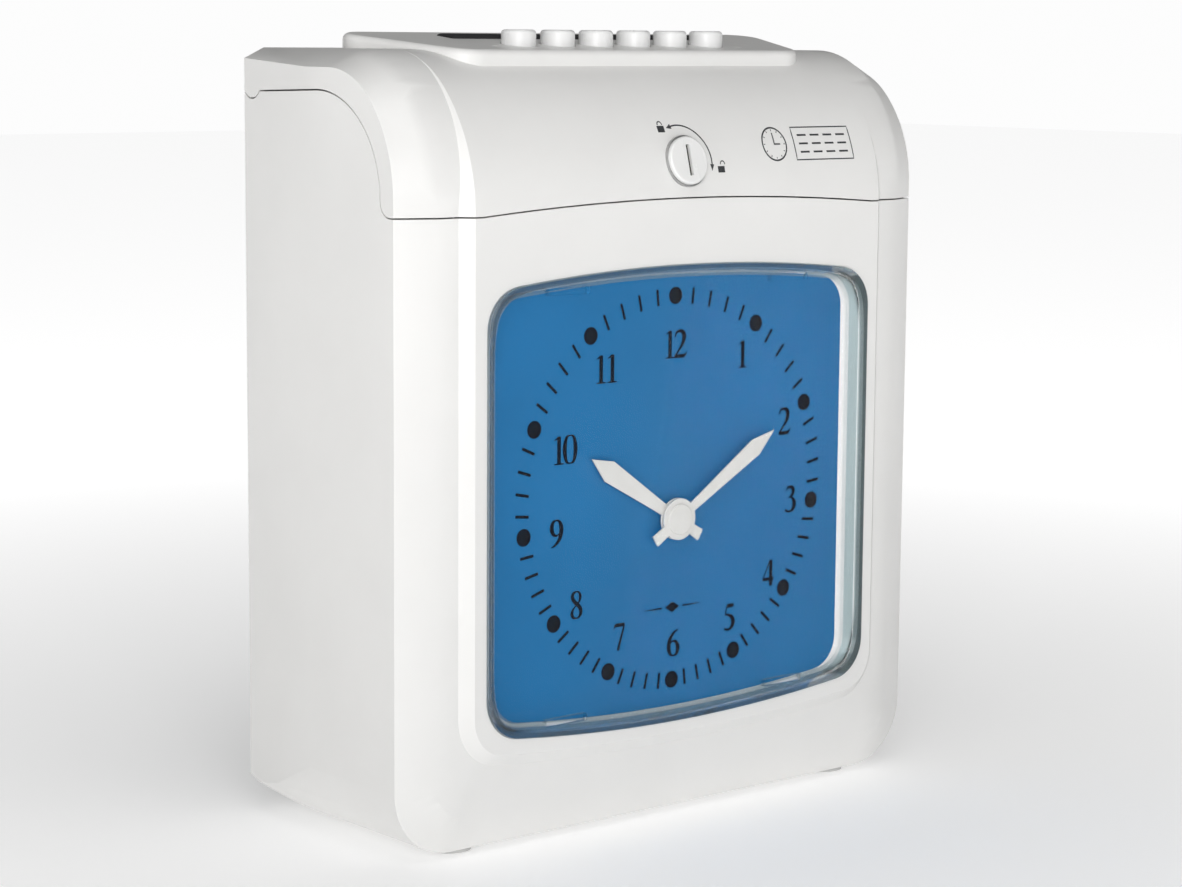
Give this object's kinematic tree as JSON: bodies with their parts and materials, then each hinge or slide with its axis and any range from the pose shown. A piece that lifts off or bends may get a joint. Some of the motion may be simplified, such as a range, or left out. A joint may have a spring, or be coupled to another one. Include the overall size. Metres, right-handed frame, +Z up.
{
  "type": "punch time clock",
  "caption": "Upright punch time clock: rounded white housing, blue quartz dial behind a clear window, hinged locking lid with keys and a card slot.",
  "frame": {"origin": "centre of the bounding box, on the surface that the feet stand on", "axes": "+Z up, the dial faces -Y, +X to the right as seen from the front"},
  "size_m": [0.226, 0.1049, 0.2623],
  "materials": {
    "case_white": "fine textured moulded ABS, warm white",
    "key_white": "smooth white plastic",
    "lock_white": "white lacquered lock face",
    "black_plastic": "black moulded plastic",
    "clear_lens": "clear moulded acrylic",
    "dial_blue": "printed blue sheet",
    "hand_white": "white painted sheet aluminium",
    "steel": "zinc plated sheet steel",
    "steel_core": "varnished laminated steel",
    "zinc": "die cast zinc",
    "brass": "turned brass",
    "aluminium": "black anodised die casting",
    "rubber": "moulded rubber",
    "circuit_board": "green circuit board",
    "gear_plastic": "natural acetal",
    "copper_coil": "taped copper winding",
    "battery_wrap": "shrink wrapped cells",
    "ribbon_fabric": "inked nylon ribbon",
    "terminal_plastic": "green terminal block"
  },
  "bodies": {
    "case": {"back_plate": "steel", "backup_battery": "battery_wrap", "bell_terminals": "terminal_plastic", "board_components": "black_plastic", "card_guide_front": "black_plastic", "card_guide_rear": "black_plastic", "carriage_belt": "rubber", "carriage_motor": "steel", "carriage_rods": "steel", "clock_movement": "black_plastic", "dial_plate": "dial_blue", "dial_screws": "steel", "feed_motor": "steel", "feet": "rubber", "front_case": "case_white", "hinge_pins": "steel", "ink_ribbon": "ribbon_fabric", "lock_strike": "steel", "main_board": "circuit_board", "mechanism_frame": "steel", "mechanism_screws": "steel", "movement_nut": "brass", "platen": "rubber", "power_inlet": "black_plastic", "processor_chip": "black_plastic", "rear_screws": "steel", "ribbon_cartridge": "black_plastic", "standoffs": "brass", "transformer_coil": "copper_coil", "transformer_core": "steel_core", "wall_pads": "rubber", "window_lens": "clear_lens"},
    "lid": {"top_cover": "case_white", "keypad_panel": "case_white", "card_throat": "black_plastic", "key_board": "circuit_board", "key_switches": "black_plastic", "lock_sleeve": "zinc"},
    "key_1": {"key_1": "key_white"},
    "key_2": {"key_2": "key_white"},
    "key_3": {"key_3": "key_white"},
    "key_4": {"key_4": "key_white"},
    "key_5": {"key_5": "key_white"},
    "key_6": {"key_6": "key_white"},
    "lock": {"lock_barrel": "lock_white", "lock_cam": "steel"},
    "minute_hand": {"minute_hand": "hand_white", "minute_arbor": "brass"},
    "hour_hand": {"hour_hand": "hand_white"},
    "feed_drive": {"drive_shaft": "steel", "drive_rollers": "rubber", "feed_gear": "gear_plastic"},
    "feed_idler": {"idler_roller": "black_plastic"},
    "motor_pinion": {"feed_pinion": "brass"},
    "carriage": {"print_carriage": "black_plastic", "print_head": "aluminium"},
    "belt_drive": {"drive_pulley": "gear_plastic"},
    "belt_idler": {"idler_pulley": "gear_plastic"},
    "ribbon_knob": {"ribbon_knob": "black_plastic"}
  },
  "joints": [
    {"name": "lid_hinge", "type": "hinge", "parent": "case", "child": "lid", "pos_m": [0, 0.0426, 0.2465], "axis": [-1, 0, 0], "range_deg": [0, 75]},
    {"name": "key_1_press", "type": "slide", "parent": "lid", "child": "key_1", "axis": [0, 0, -1], "range_m": [0, 0.0015], "stiffness_N_per_m": 400},
    {"name": "key_2_press", "type": "slide", "parent": "lid", "child": "key_2", "axis": [0, 0, -1], "range_m": [0, 0.0015], "stiffness_N_per_m": 400},
    {"name": "key_3_press", "type": "slide", "parent": "lid", "child": "key_3", "axis": [0, 0, -1], "range_m": [0, 0.0015], "stiffness_N_per_m": 400},
    {"name": "key_4_press", "type": "slide", "parent": "lid", "child": "key_4", "axis": [0, 0, -1], "range_m": [0, 0.0015], "stiffness_N_per_m": 400},
    {"name": "key_5_press", "type": "slide", "parent": "lid", "child": "key_5", "axis": [0, 0, -1], "range_m": [0, 0.0015], "stiffness_N_per_m": 400},
    {"name": "key_6_press", "type": "slide", "parent": "lid", "child": "key_6", "axis": [0, 0, -1], "range_m": [0, 0.0015], "stiffness_N_per_m": 400},
    {"name": "lock_turn", "type": "hinge", "parent": "lid", "child": "lock", "pos_m": [0, -0.0484, 0.22], "axis": [0, 0.9673, -0.2538], "range_deg": [0, 90]},
    {"name": "minute_turn", "type": "hinge", "parent": "case", "child": "minute_hand", "pos_m": [0, -0.0469, 0.1012], "axis": [0, 1, 0], "continuous": true},
    {"name": "hour_turn", "type": "hinge", "parent": "case", "child": "hour_hand", "pos_m": [0, -0.0469, 0.1012], "axis": [0, 1, 0], "continuous": true},
    {"name": "feed_turn", "type": "hinge", "parent": "case", "child": "feed_drive", "pos_m": [0, 0.0009, 0.15], "axis": [1, 0, 0], "continuous": true},
    {"name": "idler_turn", "type": "hinge", "parent": "case", "child": "feed_idler", "pos_m": [0, 0.0144, 0.15], "axis": [1, 0, 0], "continuous": true},
    {"name": "pinion_turn", "type": "hinge", "parent": "case", "child": "motor_pinion", "pos_m": [0, -0.0107, 0.1346], "axis": [1, 0, 0], "continuous": true},
    {"name": "carriage_slide", "type": "slide", "parent": "case", "child": "carriage", "axis": [1, 0, 0], "range_m": [-0.03, 0.03]},
    {"name": "belt_drive_turn", "type": "hinge", "parent": "case", "child": "belt_drive", "pos_m": [-0.056, -0.0069, 0.18], "axis": [0, 1, 0], "range_deg": [-330, 330]},
    {"name": "belt_idler_turn", "type": "hinge", "parent": "case", "child": "belt_idler", "pos_m": [0.056, -0.0069, 0.18], "axis": [0, 1, 0], "range_deg": [-330, 330]},
    {"name": "ribbon_turn", "type": "hinge", "parent": "case", "child": "ribbon_knob", "pos_m": [-0.05, -0.0099, 0.2353], "axis": [0, 0, 1], "continuous": true}
  ],
  "couplings": [
    {"joint": "hour_turn", "follows": "minute_turn", "ratio": 0.083333},
    {"joint": "idler_turn", "follows": "feed_turn", "ratio": -1.1475},
    {"joint": "pinion_turn", "follows": "feed_turn", "ratio": -3.75},
    {"joint": "belt_drive_turn", "follows": "carriage_slide", "rad_per_m": 181.82},
    {"joint": "belt_idler_turn", "follows": "carriage_slide", "rad_per_m": 181.82}
  ]
}
